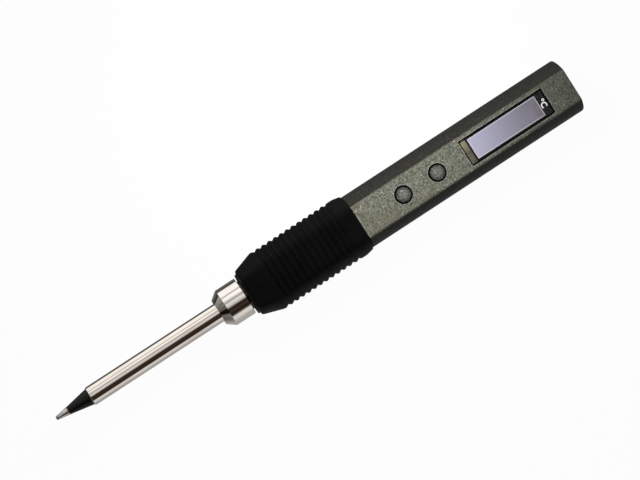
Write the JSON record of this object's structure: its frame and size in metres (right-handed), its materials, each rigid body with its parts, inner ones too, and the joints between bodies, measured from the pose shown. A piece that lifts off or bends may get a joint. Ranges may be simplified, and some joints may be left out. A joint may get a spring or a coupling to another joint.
{
  "type": "soldering iron",
  "caption": "Pen-shaped soldering iron with a plug-in heating tip in a steel collar, ribbed grip sleeve, dark metal body, small display and push buttons.",
  "frame": {"origin": "on the iron's axis, at the front edge of the steel collar's cylindrical land", "axes": "+X along the axis towards the tip, +Z out of the display side, +Y to the left of someone looking from the tail to the tip with the display up"},
  "size_m": [0.1651, 0.0178, 0.0174],
  "materials": {
    "shell_metal": "dark grey-green textured anodising",
    "silicone_black": "matte black ribbed silicone",
    "collar_steel": "polished nickel-plated steel",
    "screw_steel": "dark oiled steel",
    "cap_plastic": "fine matte black plastic",
    "button_metal": "dark grey anodising, lightly textured",
    "lens_clear": "clear acrylic",
    "mask_print": "black print behind the lens",
    "holder_plastic": "matte black plastic",
    "oled_glass": "dark display glass",
    "polarizer_film": "pale lilac reflective film",
    "flex_amber": "amber polyimide ribbon",
    "foam_grey": "soft grey foam",
    "board_laminate": "green solder mask on glass laminate",
    "chip_black": "black moulded package",
    "inductor_grey": "grey pressed ferrite",
    "capacitor_tan": "tan ceramic",
    "block_plastic": "black heat-resistant plastic",
    "spring_bronze": "gold-plated spring bronze",
    "jack_plastic": "black plastic",
    "jack_pin_nickel": "nickel plating",
    "usb_steel": "tinned steel sheet",
    "usb_tongue_plastic": "black plastic",
    "switch_plastic": "black plastic",
    "plunger_plastic": "off-white plastic",
    "bit_plated": "tinned end on a dark iron-plated copper bit",
    "tube_steel": "polished stainless steel with light heat tint",
    "heater_ceramic": "white ceramic",
    "lead_nickel": "nickel wire",
    "insulator_ceramic": "white ceramic",
    "contact_metal": "plated brass"
  },
  "bodies": {
    "handle": {"shell": "shell_metal", "grip_sleeve": "silicone_black", "nose_collar": "collar_steel", "tail_cap": "cap_plastic", "tail_cap_screws": "screw_steel", "contact_block": "block_plastic", "ground_contact_spring": "spring_bronze", "ring_contact_spring": "spring_bronze", "end_contact_spring": "spring_bronze", "main_board": "board_laminate", "controller_chip": "chip_black", "motion_sensor_chip": "chip_black", "power_mosfet": "chip_black", "power_inductor": "inductor_grey", "capacitors": "capacitor_tan", "front_switch": "switch_plastic", "rear_switch": "switch_plastic", "display_holder": "holder_plastic", "display_foam": "foam_grey", "oled_glass": "oled_glass", "oled_polarizer": "polarizer_film", "oled_flex": "flex_amber", "display_lens": "lens_clear", "display_mask": "mask_print", "dc_jack_housing": "jack_plastic", "dc_jack_pin": "jack_pin_nickel", "dc_jack_spring": "spring_bronze", "usb_socket_shell": "usb_steel", "usb_socket_tongue": "usb_tongue_plastic"},
    "cartridge": {"tip_bit": "bit_plated", "tip_tube": "tube_steel", "heater_rod": "heater_ceramic", "heater_leads": "lead_nickel", "front_insulator": "insulator_ceramic", "contact_ring": "contact_metal", "rear_insulator": "insulator_ceramic", "end_contact": "contact_metal"},
    "front_button": {"front_button": "button_metal", "front_switch_plunger": "plunger_plastic"},
    "rear_button": {"rear_button": "button_metal", "rear_switch_plunger": "plunger_plastic"},
    "clamp_screw": {"clamp_screw": "screw_steel"}
  },
  "joints": [
    {"name": "cartridge_slide", "type": "slide", "parent": "handle", "child": "cartridge", "axis": [1, 0, 0], "range_m": [0, 0.06]},
    {"name": "front_button_press", "type": "slide", "parent": "handle", "child": "front_button", "axis": [0, 0, -1], "range_m": [0, 0.0003], "stiffness_N_per_m": 1000, "springref_m": -0.0003},
    {"name": "rear_button_press", "type": "slide", "parent": "handle", "child": "rear_button", "axis": [0, 0, -1], "range_m": [0, 0.0003], "stiffness_N_per_m": 1000, "springref_m": -0.0003},
    {"name": "clamp_screw_turn", "type": "hinge", "parent": "handle", "child": "clamp_screw", "pos_m": [-0.00435, 0, -0.004], "axis": [0, 0, 1], "range_deg": [0, 720]}
  ]
}
